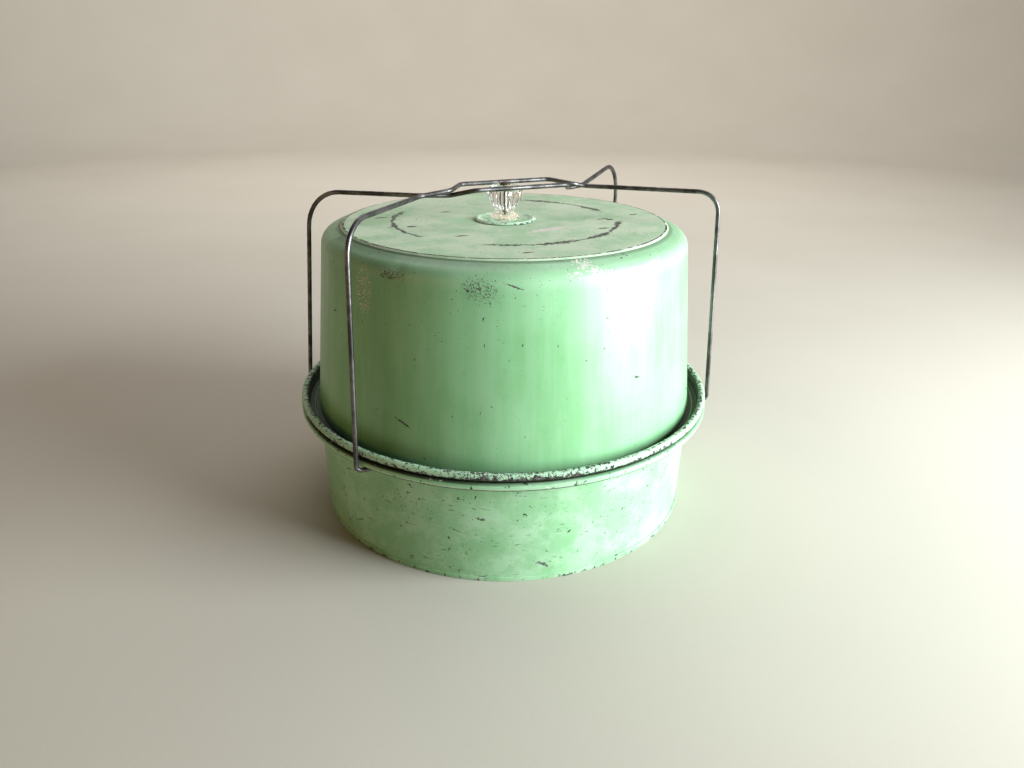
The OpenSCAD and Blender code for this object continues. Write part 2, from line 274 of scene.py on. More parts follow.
# ---------------------------------------------------------------- node helpers
class Graph:
    """A material's node tree, with short calls for the nodes used here."""

    def __init__(self, name):
        self.material = bpy.data.materials.new(name)
        self.material.use_nodes = True
        self.tree = self.material.node_tree
        self.tree.nodes.clear()
        self.out = self.add("ShaderNodeOutputMaterial")
        coords = self.add("ShaderNodeTexCoord")
        self.mm = self.vector("SCALE", coords.outputs["Object"], scale=1 / MM)
        split = self.add("ShaderNodeSeparateXYZ", {"Vector": self.mm})
        self.x, self.y, self.z = split.outputs
        self.r = self.math("SQRT", self.math("ADD", self.math("MULTIPLY", self.x, self.x),
                                             self.math("MULTIPLY", self.y, self.y)))
        self.turn = self.math("ARCTAN2", self.y, self.x)

    def add(self, kind, inputs=None, **settings):
        node = self.tree.nodes.new(kind)
        for key, value in settings.items():
            setattr(node, key, value)
        for key, value in (inputs or {}).items():
            self.put(node.inputs[key], value)
        return node

    def put(self, socket, value):
        if isinstance(value, bpy.types.NodeSocket):
            self.tree.links.new(value, socket)
        else:
            socket.default_value = value

    def math(self, operation, *values, clamp=False):
        node = self.add("ShaderNodeMath", operation=operation, use_clamp=clamp)
        for socket, value in zip(node.inputs, values):
            self.put(socket, value)
        return node.outputs[0]

    def vector(self, operation, *values, scale=None):
        node = self.add("ShaderNodeVectorMath", operation=operation)
        for socket, value in zip(node.inputs, values):
            self.put(socket, value)
        if scale is not None:
            self.put(node.inputs["Scale"], scale)
        return node.outputs["Value"] if operation in ("LENGTH", "DISTANCE") else node.outputs["Vector"]

    def join(self, x, y, z=0.0):
        return self.add("ShaderNodeCombineXYZ", {"X": x, "Y": y, "Z": z}).outputs[0]

    def noise(self, vector, size, detail=2.0, rough=0.5, colour=False):
        """Noise whose features are about size across, in the vector's own units."""
        node = self.add("ShaderNodeTexNoise", {"Vector": vector, "Scale": 1 / size, "Detail": detail,
                                               "Roughness": rough})
        return node.outputs["Color"] if colour else node.outputs[0]

    def ramp(self, value, low, high, start=0.0, end=1.0):
        """start below low, end above high, and a smooth change between."""
        node = self.add("ShaderNodeMapRange", interpolation_type="SMOOTHSTEP")
        for socket, item in zip(node.inputs, (value, low, high, start, end)):
            self.put(socket, item)
        return node.outputs[0]

    def band(self, value, middle, half, soft):
        """1 within half of middle, and 0 beyond half plus soft."""
        away = self.math("ABSOLUTE", self.math("SUBTRACT", value, middle))
        return self.ramp(away, half, half + soft, 1.0, 0.0)

    def mix(self, factor, a, b):
        node = self.add("ShaderNodeMix", data_type="RGBA")
        for index, item in ((0, factor), (6, a), (7, b)):
            self.put(node.inputs[index], item)
        return node.outputs[2]

    def blend(self, factor, a, b):
        """Plain number between a and b."""
        node = self.add("ShaderNodeMix", data_type="FLOAT")
        for index, item in ((0, factor), (2, a), (3, b)):
            self.put(node.inputs[index], item)
        return node.outputs[0]

    def most(self, items):
        """The largest of several masks."""
        total = items[0]
        for item in items[1:]:
            total = self.math("MAXIMUM", total, item)
        return total

    def near(self, coords, x, y, half_long, half_wide, tilt=0.0):
        """1 at the middle of an ellipse, 0 on its edge and less beyond; tilt is in degrees."""
        place = self.add("ShaderNodeMapping", {
            "Vector": coords, "Location": (x, y, 0), "Rotation": (0, 0, math.radians(tilt)),
            "Scale": (half_long, half_wide, 1)}, vector_type="TEXTURE")
        return self.math("SUBTRACT", 1.0, self.vector("LENGTH", place.outputs[0]))

    def nearest(self, coords, marks):
        """The same for whichever of several ellipses is nearest."""
        best = self.near(coords, *marks[0])
        for mark in marks[1:]:
            best = self.math("MAXIMUM", best, self.near(coords, *mark))
        return best

    def ragged(self, closeness, size=1.4, amount=6.0, start=-0.1, soft=0.15):
        """A chip with a torn edge, from closeness to its middle."""
        torn = self.math("MULTIPLY", self.math("SUBTRACT", self.noise(self.mm, size, 4.0, 0.65), 0.5), amount)
        return self.ramp(self.math("ADD", closeness, torn), start, start + soft)

    def flecks(self, size, density):
        """Ragged flecks: none at density 0, and about a third of the surface at density 1."""
        level = self.math("SUBTRACT", 0.690, self.math("MULTIPLY", density, 0.13))
        value = self.noise(self.mm, size, 4.0, 0.6)
        return self.ramp(self.math("SUBTRACT", value, level), 0.0, 0.012)

    def round_wall(self, degrees):
        """Distance round a wall to a direction, for marks placed in degrees."""
        return math.radians(degrees) * WALL_R

    def surface(self, **inputs):
        shader = self.add("ShaderNodeBsdfPrincipled")
        for key, value in inputs.items():
            self.put(shader.inputs[key.replace("_", " ")], value)
        self.tree.links.new(shader.outputs[0], self.out.inputs["Surface"])
        return shader

    def bump(self, height, distance, strength=1.0, under=None):
        inputs = {"Height": height, "Distance": distance * MM, "Strength": strength}
        if under is not None:
            inputs["Normal"] = under
        return self.add("ShaderNodeBump", inputs).outputs[0]


# ---------------------------------------------------------------- marks
def scattered(seed, count, heights, longs, wides, tilts, directions=(-170, 170)):
    """Marks left on a wall by chance: direction in degrees, height, half length, half width and tilt."""
    draw = np.random.default_rng(seed)
    spans = (directions, heights, longs, wides, tilts)
    return [tuple(float(draw.uniform(*span)) for span in spans) for _ in range(count)]


def knocked(seed, count):
    """Round spots where the panel's paint has been knocked off: place, half length and half width."""
    draw = np.random.default_rng(seed)
    spots = []
    for _ in range(count):
        direction = draw.uniform(0, TAU)
        out = draw.uniform(35, 98)
        half_long = float(draw.uniform(2.4, 4.5))
        half_wide = float(draw.uniform(1.2, 1.9))
        spots.append((float(out * math.cos(direction)), float(out * math.sin(direction)), half_long, half_wide))
    return spots


# ---------------------------------------------------------------- materials
PAINT = (0.235, 0.490, 0.250, 1)
PAINT_DEEP = (0.190, 0.430, 0.195, 1)
PAINT_PALE = (0.460, 0.660, 0.470, 1)
# Pale grey-green for the panel's chalky bloom, which also serves as a painted sheen.
PANEL_BLOOM_AND_SHEEN = (0.560, 0.620, 0.475, 1)
# Dark dirt colour, also used as painted shade in folds, hollows and the tray's channel.
DIRT_AND_SHADE = (0.022, 0.024, 0.012, 1)
BARE_DARK = (0.018, 0.015, 0.013, 1)
BARE_GREY = (0.130, 0.120, 0.115, 1)
BARE_TIN = (0.680, 0.620, 0.570, 1)


def enamel(name, wear, streak=1.0, dull=0.0, metal_size=2.5, pale_colour=PAINT_PALE, shine=0.5):
    """Old gloss enamel on tinplate, with pale vertical banding that is a painted reflection. wear(g) gives masks for
    dark chips, bare tin, pale rubs and dirt; some wear functions also put painted shade into the dark and dirt masks,
    and a painted highlight or painted sheen into the pale one.
    """
    g = Graph(name)
    masks = {"dark": 0.0, "tin": 0.0, "pale": 0.0, "grime": 0.0}
    masks.update(wear(g))
    dark, tin, pale, grime = masks.values()

    along = g.math("MULTIPLY", g.turn, WALL_R)
    cloud = g.ramp(g.noise(g.mm, 46.0, 3.0), 0.35, 0.65)
    # Vertical banding: its pale colour is a painted reflection of the wall's slight waviness, and its bump is that
    # waviness itself.
    ripple_and_sheen = g.noise(g.join(along, g.math("MULTIPLY", g.z, 0.03), g.r), 7.0, 4.0, 0.6)
    colour = g.mix(cloud, PAINT_DEEP, PAINT)
    colour = g.mix(g.math("MULTIPLY", g.ramp(ripple_and_sheen, 0.35, 0.7), 0.16 * streak), colour, PAINT_PALE)
    film = g.ramp(g.noise(g.mm, 9.0, 6.0, 0.65), 0.54, 0.78)
    colour = g.mix(g.math("MULTIPLY", film, 0.18), colour, (0.10, 0.13, 0.05, 1))
    colour = g.mix(g.math("MULTIPLY", pale, 0.75), colour, pale_colour)
    # Dirt and painted shade darken the paint.
    colour = g.mix(grime, colour, DIRT_AND_SHADE)
    metal = g.mix(g.ramp(g.noise(g.mm, metal_size, 3.0), 0.4, 0.62), BARE_DARK, BARE_GREY)
    colour = g.mix(dark, colour, metal)
    colour = g.mix(tin, colour, BARE_TIN)

    chipped = g.math("MAXIMUM", dark, tin)
    whole = g.math("SUBTRACT", 1.0, chipped)
    rough = g.math("ADD", g.math("MULTIPLY", g.noise(g.mm, 14.0, 4.0, 0.6), 0.18), 0.28 + dull)
    rough = g.math("ADD", rough, g.math("MULTIPLY", g.math("MAXIMUM", pale, grime), 0.15))
    rough = g.blend(chipped, rough, 0.5)
    normal = g.bump(ripple_and_sheen, 0.08 * streak)
    normal = g.bump(g.noise(g.mm, 1.6, 2.0), 0.012, under=normal)
    normal = g.bump(whole, 0.10, under=normal)
    g.surface(Base_Color=colour, Roughness=rough, Metallic=g.math("MULTIPLY", dark, 0.3), Normal=normal,
              Specular_IOR_Level=shine,
              Coat_Weight=g.math("MULTIPLY", whole, 0.3 * shine), Coat_Roughness=0.24 + dull)
    return g.material


def facing(g, middle, half):
    """1 on the part of a circle within half of the middle direction, in degrees."""
    aim = math.radians(middle)
    along = g.math("ADD", g.math("MULTIPLY", g.x, math.cos(aim)), g.math("MULTIPLY", g.y, math.sin(aim)))
    share = g.math("DIVIDE", along, g.math("MAXIMUM", g.r, 1.0))
    return g.ramp(share, math.cos(math.radians(half + 5)), math.cos(math.radians(half)))


def panel_wear(g):
    """The broken ring and rubs scratched on the cover's flat top, its worn edge and its milky bloom, which is partly
    chalky paint and partly a painted sheen.
    """
    push = g.vector("SUBTRACT", g.noise(g.mm, 5.0, 3.0, 0.6, colour=True), (0.5, 0.5, 0.5))
    flat = g.vector("ADD", g.join(g.x, g.y), g.vector("SCALE", push, scale=5.0))
    # The ring is left in three arcs: at the left, along the front and at the back on the right.
    arcs = g.most([facing(g, 170, 30), facing(g, -75, 45), facing(g, 30, 25)])
    off_ring = g.math("ABSOLUTE", g.math("SUBTRACT", g.vector("LENGTH", flat), RING_R))
    half_wide = g.ramp(g.noise(g.mm, 22.0, 2.0), 0.40, 0.60, 0.8, 2.2)
    ring = g.ragged(g.math("SUBTRACT", 1.0, g.math("DIVIDE", off_ring, half_wide)), 1.8, 5.0, -0.25)
    knocks = g.ragged(g.nearest(g.join(g.x, g.y), knocked(4, 10)), 1.8, 2.0, -0.05)
    marks = g.math("MAXIMUM", g.math("MULTIPLY", ring, arcs), knocks)
    corner = g.band(g.r, PANEL_R - 0.4, 0.45, 0.35)
    corner = g.math("MULTIPLY", corner, g.ramp(g.noise(g.mm, 5.0, 5.0, 0.75), 0.435, 0.465))
    specks = g.flecks(1.8, g.ramp(g.noise(g.mm, 30.0, 2.0), 0.5, 0.7, 0.1, 0.5))
    streak = g.ragged(g.near(flat, 12, -40, 16, 3, 12), 2.5, 2.0)
    # Milky bloom over the whole panel: chalky paint, and a painted sheen that greys the upward face.
    bloom = g.ramp(g.noise(g.mm, 24.0, 6.0, 0.7), 0.38, 0.60, 0.60, 1.20)
    scuffed = g.math("MULTIPLY", g.flecks(3.0, 0.75), g.ramp(g.y, 10.0, 60.0))
    return {"dark": g.most([g.math("MULTIPLY", marks, 0.92), corner, specks]),
            "tin": g.math("MAXIMUM", streak, g.math("MULTIPLY", scuffed, 0.55)),
            "pale": bloom}


def wall_marks(g, marks):
    """Closeness to the nearest mark: direction in degrees, height, half length, half width and tilt."""
    wall = g.join(g.math("MULTIPLY", g.turn, WALL_R), g.z)
    return g.nearest(wall, [(g.round_wall(mark[0]), *mark[1:]) for mark in marks])


def wall_flecks(g, extra=0.0):
    """Fine flecks that get denser up the cover's wall."""
    density = g.math("ADD", extra, g.ramp(g.z, 130.0, 192.0, -0.10, 0.16))
    return g.math("MAXIMUM", g.flecks(1.1, density), g.flecks(3.0, g.math("MULTIPLY", density, 0.5)))


def wall_wear(g):
    """A few nicks down the cover's wall, dark flecks on its hem, and painted shade at its foot where it sits in the
    tray.
    """
    nicks = scattered(3, 12, (85, 158), (0.6, 6.0), (0.4, 0.8), (-30, 30))
    nick = g.ragged(wall_marks(g, nicks), 1.2, 4.0)
    hem = g.math("MULTIPLY", g.ramp(g.z, COVER_LOW.z + 0.6, COVER_LOW.z + 2.4, 1.0, 0.0), g.flecks(3.0, 1.0))
    # Painted shade: the foot of the wall darkens where the cover sits in the tray.
    hem_shade = g.ramp(g.z, COVER_LOW.z, COVER_LOW.z + 3.5, 0.85, 0.0)
    return {"dark": g.most([wall_flecks(g), nick, hem]), "grime": hem_shade}


def shoulder_wear(g):
    """Clustered flecks, bare tin and a darkened fold round the cover's shoulder, which is dirt and painted shade,
    heavier to the left of the front, away from the light.
    """
    clusters = [(FRONT - 5, 184, 18, 11, -15), (FRONT - 30, 188, 14, 5, 0), (20, 186, 20, 7, 0),
                (110, 182, 18, 10, 10)]
    cluster = g.ramp(wall_marks(g, clusters), 0.0, 0.7)
    flecks = wall_flecks(g, g.math("MULTIPLY", cluster, 0.75))
    flecks = g.math("MAXIMUM", flecks, g.flecks(0.8, g.math("MULTIPLY", cluster, 1.05)))
    nicks = [(FRONT + 3, 187, 5, 0.4, -18)] + scattered(5, 5, (162, 189), (0.7, 3.0), (0.4, 0.7), (-20, 20))
    nick = g.ragged(wall_marks(g, nicks), 1.2, 4.0)
    # Tin shows along the shoulder to the right of the front, and in one place behind.
    bare = scattered(8, 5, (190, 195), (3, 9), (1.1, 1.5), (0, 0), directions=(FRONT + 10, FRONT + 50))
    bare.append((75, 193, 9, 1.5, 0))
    tin = g.math("MULTIPLY", g.ragged(wall_marks(g, bare), 1.7, 9.0, 0.20), 0.85)
    ground_in = wall_marks(g, [(FRONT - 40, 176, 8, 15, 0), (160, 176, 12, 9, 0)])
    speckles = g.math("MULTIPLY", g.flecks(1.3, 1.15), g.ramp(ground_in, -0.1, 0.4))
    worn_band = g.band(g.z, 191.0, 3.0, 6.0)
    # Dirt and painted shade by the ledge, with a film of painted shade down the shoulder that is heaviest left of the
    # front, away from the light.
    beyond = g.math("SUBTRACT", g.r, LEDGE_R)
    film = g.ramp(beyond, 1.0, 15.0, 0.55, 0.0)
    film = g.math("MULTIPLY", film, g.ramp(g.turn, math.radians(-125), math.radians(-100), 1.0, 0.3))
    crease_dirt_and_shade = g.math("MAXIMUM", g.ramp(beyond, -1.0, 2.8, 0.70, 0.0), film)
    return {"dark": g.math("MAXIMUM", flecks, nick), "tin": g.math("MAXIMUM", tin, speckles),
            "pale": g.math("MULTIPLY", worn_band, 0.35), "grime": crease_dirt_and_shade}


def drum_wear(g):
    """Level scratches and knocks on the drum, a dark lip under its bead that is partly worn edge and partly painted
    shadow, painted shade with dirt on top of the bead, a painted highlight low on the bead, and rubs at its foot.
    """
    scuffs = scattered(11, 16, (8, 64), (1.5, 7.0), (0.3, 1.1), (-30, 30))
    marks = g.ragged(wall_marks(g, scuffs), 1.3, 6.0, 0.05)
    level = g.noise(g.join(g.math("MULTIPLY", g.turn, 22.0), g.z, 3.0), 1.5, 3.0, 0.6)
    lines = g.math("MULTIPLY", g.ramp(level, 0.635, 0.655), g.ramp(g.noise(g.mm, 18.0, 2.0), 0.50, 0.56))
    density = g.ramp(g.noise(g.mm, 34.0, 2.0), 0.4, 0.7, 0.06, 0.40)
    flecks = g.math("MAXIMUM", g.flecks(1.6, density), g.flecks(4.0, g.math("MULTIPLY", density, 0.7)))
    below = g.ramp(g.z, FLANGE_Z - 1.0, FLANGE_Z - 0.4, 1.0, 0.0)
    on_wall = g.math("MULTIPLY", below, g.most([g.math("MULTIPLY", marks, 0.85), g.math("MULTIPLY", lines, 0.8), flecks]))
    on_bead = g.ramp(g.r, BASE_BEAD_RING - 3.0, BASE_BEAD_RING - 2.4)
    # Painted shadow: a dark line at the bead's lower lip stands in for the shade beneath the bead, along with its worn
    # raw edge.
    lip = g.math("MULTIPLY", on_bead, g.ramp(g.z, FLANGE_Z + 0.55, FLANGE_Z + 0.85, 1.0, 0.0))
    chips = g.math("MULTIPLY", on_bead, g.flecks(3.0, 0.50))
    foot = g.math("MULTIPLY", g.ramp(g.z, 0.8, 3.4, 1.0, 0.0), g.flecks(3.0, 0.85))
    # Dirt and painted shade on top of the bead, beneath the tray's bead.
    groove_dirt_and_shade = g.math("MULTIPLY", on_bead, g.ramp(g.z, BASE_BEAD_Z + 0.9, BASE_BEAD_Z + 2.0))
    tin = g.math("MULTIPLY", on_bead, g.flecks(4.0, 0.15))
    # Painted highlight: a pale band low on the bead, where it faces the light.
    bead_highlight = g.math("MULTIPLY", on_bead, g.band(g.z, BASE_BEAD_Z - 0.8, 0.5, 0.8))
    bloom = g.ramp(g.noise(g.mm, 20.0, 5.0, 0.7), 0.40, 0.65, 0.15, 0.75)
    # The painted shade with dirt fades towards the lit right side.
    return {"dark": g.most([on_wall, lip, chips, foot]), "tin": tin, "pale": g.math("MAXIMUM", bloom, bead_highlight),
            "grime": g.math("MULTIPLY", groove_dirt_and_shade, g.ramp(g.turn, math.radians(-128), math.radians(-106), 0.9, 0.35))}


def tray_wear(g):
    """The bead's paint is pale and pitted, bare on its inner side and brown below, partly worn metal and partly
    painted shade on its underside; painted shade darkens the channel inside it.
    """
    round_bead = g.math("ARCTAN2", g.math("SUBTRACT", g.z, TRAY_BEAD_Z), g.math("SUBTRACT", g.r, TRAY_BEAD_RING))
    rim = g.ramp(g.z, TRAY_BEAD_Z - TRAY_BEAD_R - 0.6, TRAY_BEAD_Z - TRAY_BEAD_R)
    uneven = g.math("MULTIPLY", g.math("SUBTRACT", g.noise(g.mm, 2.6, 5.0, 0.7), 0.5), 9.0)
    place = g.math("ADD", round_bead, uneven)
    inner = g.math("MULTIPLY", rim, g.ramp(place, 1.60, 1.85))
    thumbed = g.band(g.turn, math.radians(-110), math.radians(8), math.radians(12))
    worn_to = g.blend(thumbed, -0.42, 0.30)
    # Worn metal and painted shade: dark below the bead's middle, where it faces down; it reaches higher where thumbed.
    worn_and_shaded_underside = g.math("MULTIPLY", rim, g.ramp(g.math("SUBTRACT", place, worn_to), 0.0, 0.2, 1.0, 0.0))
    patches = g.ramp(g.noise(g.mm, 40.0, 2.0), 0.40, 0.60, 0.40, 0.80)
    pits = g.math("MULTIPLY", rim, g.flecks(1.2, g.math("ADD", patches, g.math("MULTIPLY", thumbed, 0.35))))
    dark = g.most([inner, worn_and_shaded_underside, pits])
    tin = g.math("MULTIPLY", g.math("MULTIPLY", rim, g.band(round_bead, 2.0, 0.25, 0.3)), g.flecks(4.0, 0.95))
    # Painted shade darkens the channel between the ridge and the bead wall.
    trough_shade = g.math("MULTIPLY", g.math("SUBTRACT", 1.0, rim), g.ramp(g.r, TRAY_RIDGE_R - 7.0, TRAY_RIDGE_R - 2.0))
    ridge = g.band(g.r, TRAY_RIDGE_R, 0.35, 0.25)
    trough_shade = g.math("MULTIPLY", trough_shade, g.math("SUBTRACT", 1.0, ridge))
    floor_marks = g.math("MULTIPLY", g.math("SUBTRACT", 1.0, rim), g.flecks(2.0, 0.45))
    return {"dark": g.math("MAXIMUM", dark, floor_marks), "tin": tin, "pale": g.math("MULTIPLY", rim, 1.3, clamp=True),
            "grime": g.math("MULTIPLY", trough_shade, 0.93)}


def rosette_wear(g):
    """Paint is rubbed pale on the rosette's crest, flaked in its well and dirty round its edge."""
    crest = g.band(g.r, 18.8, 0.9, 0.9)
    well = g.ramp(g.r, 15.5, 17.0, 1.0, 0.0)
    chips = g.flecks(2.0, g.blend(well, 0.66, 0.85))
    skirt = g.ramp(g.r, 19.6, 20.6)
    dark = g.math("MAXIMUM", chips, g.math("MULTIPLY", skirt, g.flecks(2.6, 1.25)))
    tin = g.math("MULTIPLY", g.math("MAXIMUM", crest, g.math("MULTIPLY", well, 0.8)), g.flecks(3.5, 1.25))
    return {"dark": dark, "tin": g.math("MULTIPLY", tin, 0.8), "pale": g.ramp(g.r, 15.0, 17.0, 0.4, 1.2)}


def bail_steel():
    """Dark spring wire, burnished where hands and the cover have rubbed it, with rust in the low places."""
    g = Graph("bail_steel")
    blotch = g.ramp(g.noise(g.mm, 13.0, 5.0, 0.6), 0.38, 0.62)
    rust = g.ramp(g.noise(g.mm, 3.2, 6.0, 0.7), 0.56, 0.68)
    colour = g.mix(blotch, (0.060, 0.056, 0.055, 1), (0.170, 0.160, 0.158, 1))
    colour = g.mix(g.math("MULTIPLY", rust, 0.75), colour, (0.105, 0.055, 0.034, 1))
    rough = g.blend(rust, g.ramp(blotch, 0.0, 1.0, 0.46, 0.34), 0.65)
    drawn = g.noise(g.vector("MULTIPLY", g.mm, (1.0, 1.0, 0.12)), 0.35, 3.0)
    normal = g.bump(drawn, 0.03)
    normal = g.bump(rust, 0.05, under=normal)
    g.surface(Base_Color=colour, Metallic=g.blend(rust, 0.92, 0.35), Roughness=rough, Normal=normal)
    return g.material


def screw_steel():
    """Tarnished screw, washer and nut, with a brighter face where a driver has worn it."""
    g = Graph("screw_steel")
    tarnish = g.ramp(g.noise(g.mm, 1.4, 6.0, 0.7), 0.45, 0.6)
    colour = g.mix(tarnish, (0.13, 0.10, 0.08, 1), (0.035, 0.022, 0.015, 1))
    normal = g.bump(g.noise(g.mm, 0.4, 3.0), 0.03)
    g.surface(Base_Color=colour, Metallic=g.blend(tarnish, 0.9, 0.5), Roughness=g.blend(tarnish, 0.35, 0.6),
              Normal=normal)
    return g.material


def pressed_fibre():
    """Washers of pale cork board, with strands and a rough edge."""
    g = Graph("pressed_fibre")
    strand = g.noise(g.vector("MULTIPLY", g.mm, (3.0, 0.8, 2.0)), 0.8, 5.0, 0.7)
    colour = g.mix(g.ramp(strand, 0.35, 0.65), (0.34, 0.28, 0.19, 1), (0.62, 0.57, 0.46, 1))
    g.surface(Base_Color=colour, Roughness=0.85, Normal=g.bump(strand, 0.05))
    return g.material


def knob_glass():
    """Clear pressed glass with mould ripples and a little dirt low down."""
    g = Graph("knob_glass")
    low, high = node_mm("knob_glass")
    waist = low.z + 0.24 * (high.z - low.z)
    where = g.math("MAXIMUM", g.ramp(g.z, low.z, low.z + 3.0, 1.0, 0.0), g.band(g.z, waist, 0.6, 2.0))
    dirt = g.math("MULTIPLY", where, g.ramp(g.noise(g.mm, 1.6, 4.0), 0.46, 0.60))
    ripple = g.noise(g.mm, 3.0, 2.0)
    colour = g.mix(g.math("MULTIPLY", dirt, 0.7), (0.97, 0.985, 0.975, 1), (0.42, 0.30, 0.16, 1))
    shader = g.surface(Base_Color=colour, Roughness=g.blend(dirt, 0.02, 0.4), IOR=1.5, Transmission_Weight=1.0,
                       Normal=g.bump(ripple, 0.06))
    clear = g.add("ShaderNodeBsdfTransparent", {"Color": (0.86, 0.90, 0.88, 1)})
    shadow = g.add("ShaderNodeLightPath").outputs["Is Shadow Ray"]
    both = g.add("ShaderNodeMixShader", {"Fac": shadow})
    g.tree.links.new(shader.outputs[0], both.inputs[1])
    g.tree.links.new(clear.outputs[0], both.inputs[2])
    g.tree.links.new(both.outputs[0], g.out.inputs["Surface"])
    return g.material


# ---------------------------------------------------------------- pieces
def wobble(angles, waves):
    """Slow unevenness round a hand-finished tin, in millimetres."""
    total = np.zeros_like(angles)
    for count, size, start in waves:
        total += size * np.sin(count * angles + start)
    return total


def cover_path():
    """Upper face of the cover from inside the hem, up the wall and over to the axis."""
    foot_r, foot_z, top_z = COVER_HIGH.x, COVER_LOW.z, PANEL_Z
    lean = math.tan(COVER_LEAN)
    fall = math.tan(LEDGE_SLOPE)
    ledge_z = top_z - LEDGE_DROP
    # The wall line and the ledge line meet at the corner that the shoulder rounds off.
    corner_z = (ledge_z - fall * (foot_r + lean * foot_z - LEDGE_R)) / (1 - fall * lean)
    corner_r = foot_r - lean * (corner_z - foot_z)
    fold = 2.6 * SHEET
    points = [
        (foot_r - fold - 5 * lean, foot_z + 5), (foot_r - fold, foot_z), (foot_r, foot_z),
        (corner_r, corner_z), (LEDGE_R, ledge_z), (PANEL_R, top_z), (0.0, top_z),
    ]
    return rounded(points, [0.7, 0.7, SHOULDER_R, 1.0, 0.7], steps=10)


def build_cover(wall_material, shoulder_material, panel_material):
    dents = [(-143, 192.5, 4.5, 0.55), (-128, 120, 22, 0.35), (60, 190, 6, 0.6), (140, 110, 26, 0.4)]

    def shape(angles, radius, height):
        on_wall = np.clip((radius - 60) / 50, 0, 1)
        push = wobble(angles, [(3, 0.10, 0.4), (7, 0.06, 1.9), (19, 0.035, 0.7), (31, 0.025, 2.2)])
        for place, z, size, depth in dents:
            round_way = (angles - math.radians(place) + math.pi) % TAU - math.pi
            away = np.hypot(round_way * 125, height - z) / size
            push = push - depth * np.exp(-away**2)
        sag = 0.25 * np.clip(1 - radius / PANEL_R, 0, 1) * (height > PANEL_Z - 1.5)
        return radius + push * on_wall, height - sag

    path = refined(cover_path(), 2.5)
    vertices, faces = lathe(thickened(path, SHEET, 1), shape, turns=400)
    piece = new_piece("cover", vertices, faces, "cover", ["cover_shell"], wall_material)
    piece.data.materials.append(shoulder_material)
    piece.data.materials.append(panel_material)
    for face in piece.data.polygons:
        on_shoulder = face.center.z > SHOULDER_PAINT_Z * MM
        on_panel = face.center.z > (PANEL_Z - LEDGE_DROP / 2) * MM
        face.material_index = int(on_shoulder) + int(on_panel)
    return piece


def build_drum(material):
    """Drum wall, flange and bead: the flange's edge is rolled up and over a wire, and ends in a raw lip below."""
    inside = BASE_BEAD_R - SHEET
    wall = rounded([(DRUM_FOOT_R, 0.9), (DRUM_HEAD_R, FLANGE_Z), (BASE_BEAD_RING - 1.9, FLANGE_Z)], [1.3], steps=5)
    roll = arc(BASE_BEAD_RING, BASE_BEAD_Z, inside, 205, -62, 30)
    lip = [(BASE_BEAD_RING + 0.72, FLANGE_Z + 0.15)]
    path = refined(wall, 2.5) + roll + lip

    def shape(angles, radius, height):
        push = wobble(angles, [(2, 0.12, 0.9), (5, 0.08, 2.4), (17, 0.03, 0.3)])
        return radius + push * np.clip((FLANGE_Z - height) / 20, 0, 1), height

    vertices, faces = lathe(thickened(path, SHEET, 1), shape)
    piece = new_piece("drum", vertices, faces, "base", ["base_drum"], material)
    pierce(piece)
    return piece


def pierce(piece):
    """Cuts the four holes that the bails turn in, by two long round cutters."""
    hole_r = (WIRE_R + 0.1) * MM
    for face in (-1, 1):
        mesh = bpy.data.meshes.new("cutter")
        work = bmesh.new()
        place = Matrix.Translation(Vector((0, face * HINGE_Y, HINGE_Z)) * MM) @ Matrix.Rotation(math.pi / 2, 4, "Y")
        bmesh.ops.create_cone(work, cap_ends=True, segments=24, radius1=hole_r, radius2=hole_r,
                              depth=2 * DRUM_HEAD_R * MM, matrix=place)
        work.to_mesh(mesh)
        work.free()
        cutter = bpy.data.objects.new("cutter", mesh)
        bpy.context.scene.collection.objects.link(cutter)
        cut = piece.modifiers.new("holes", "BOOLEAN")
        cut.object = cutter
        cut.operation = "DIFFERENCE"
        cut.solver = "EXACT"
        apply_modifiers(piece)
        bpy.data.objects.remove(cutter)
    piece.data.set_sharp_from_angle(angle=math.radians(40))


def apply_modifiers(piece):
    bpy.context.view_layer.update()
    result = bpy.data.meshes.new_from_object(piece.evaluated_get(bpy.context.evaluated_depsgraph_get()))
    piece.modifiers.clear()
    piece.data = result


def build_bottom(material):
    rim_r, seam_h = BOTTOM_HIGH.x, BOTTOM_HIGH.z
    inner = rim_r - 2 * SHEET - 1.2
    outline = rounded([
        (rim_r - SHEET, 0.4), (rim_r - SHEET, 0.0), (rim_r, 0.0), (rim_r, seam_h), (rim_r - SHEET, seam_h), (rim_r - SHEET, 0.9),
        (inner + SHEET, 0.9), (inner + SHEET, seam_h), (0.0, seam_h)], [0, 0.25, 0.3, 0, 0, 0.2, 0.3], steps=4)
    closing = rounded([(0.0, seam_h - SHEET), (inner, seam_h - SHEET), (inner, 0.0), (rim_r - SHEET, 0.0)],
                      [0.3, 0.25], steps=4)
    vertices, faces = lathe(outline[1:] + closing[:-1])
    return new_piece("bottom", vertices, faces, "base", ["base_bottom"], material)


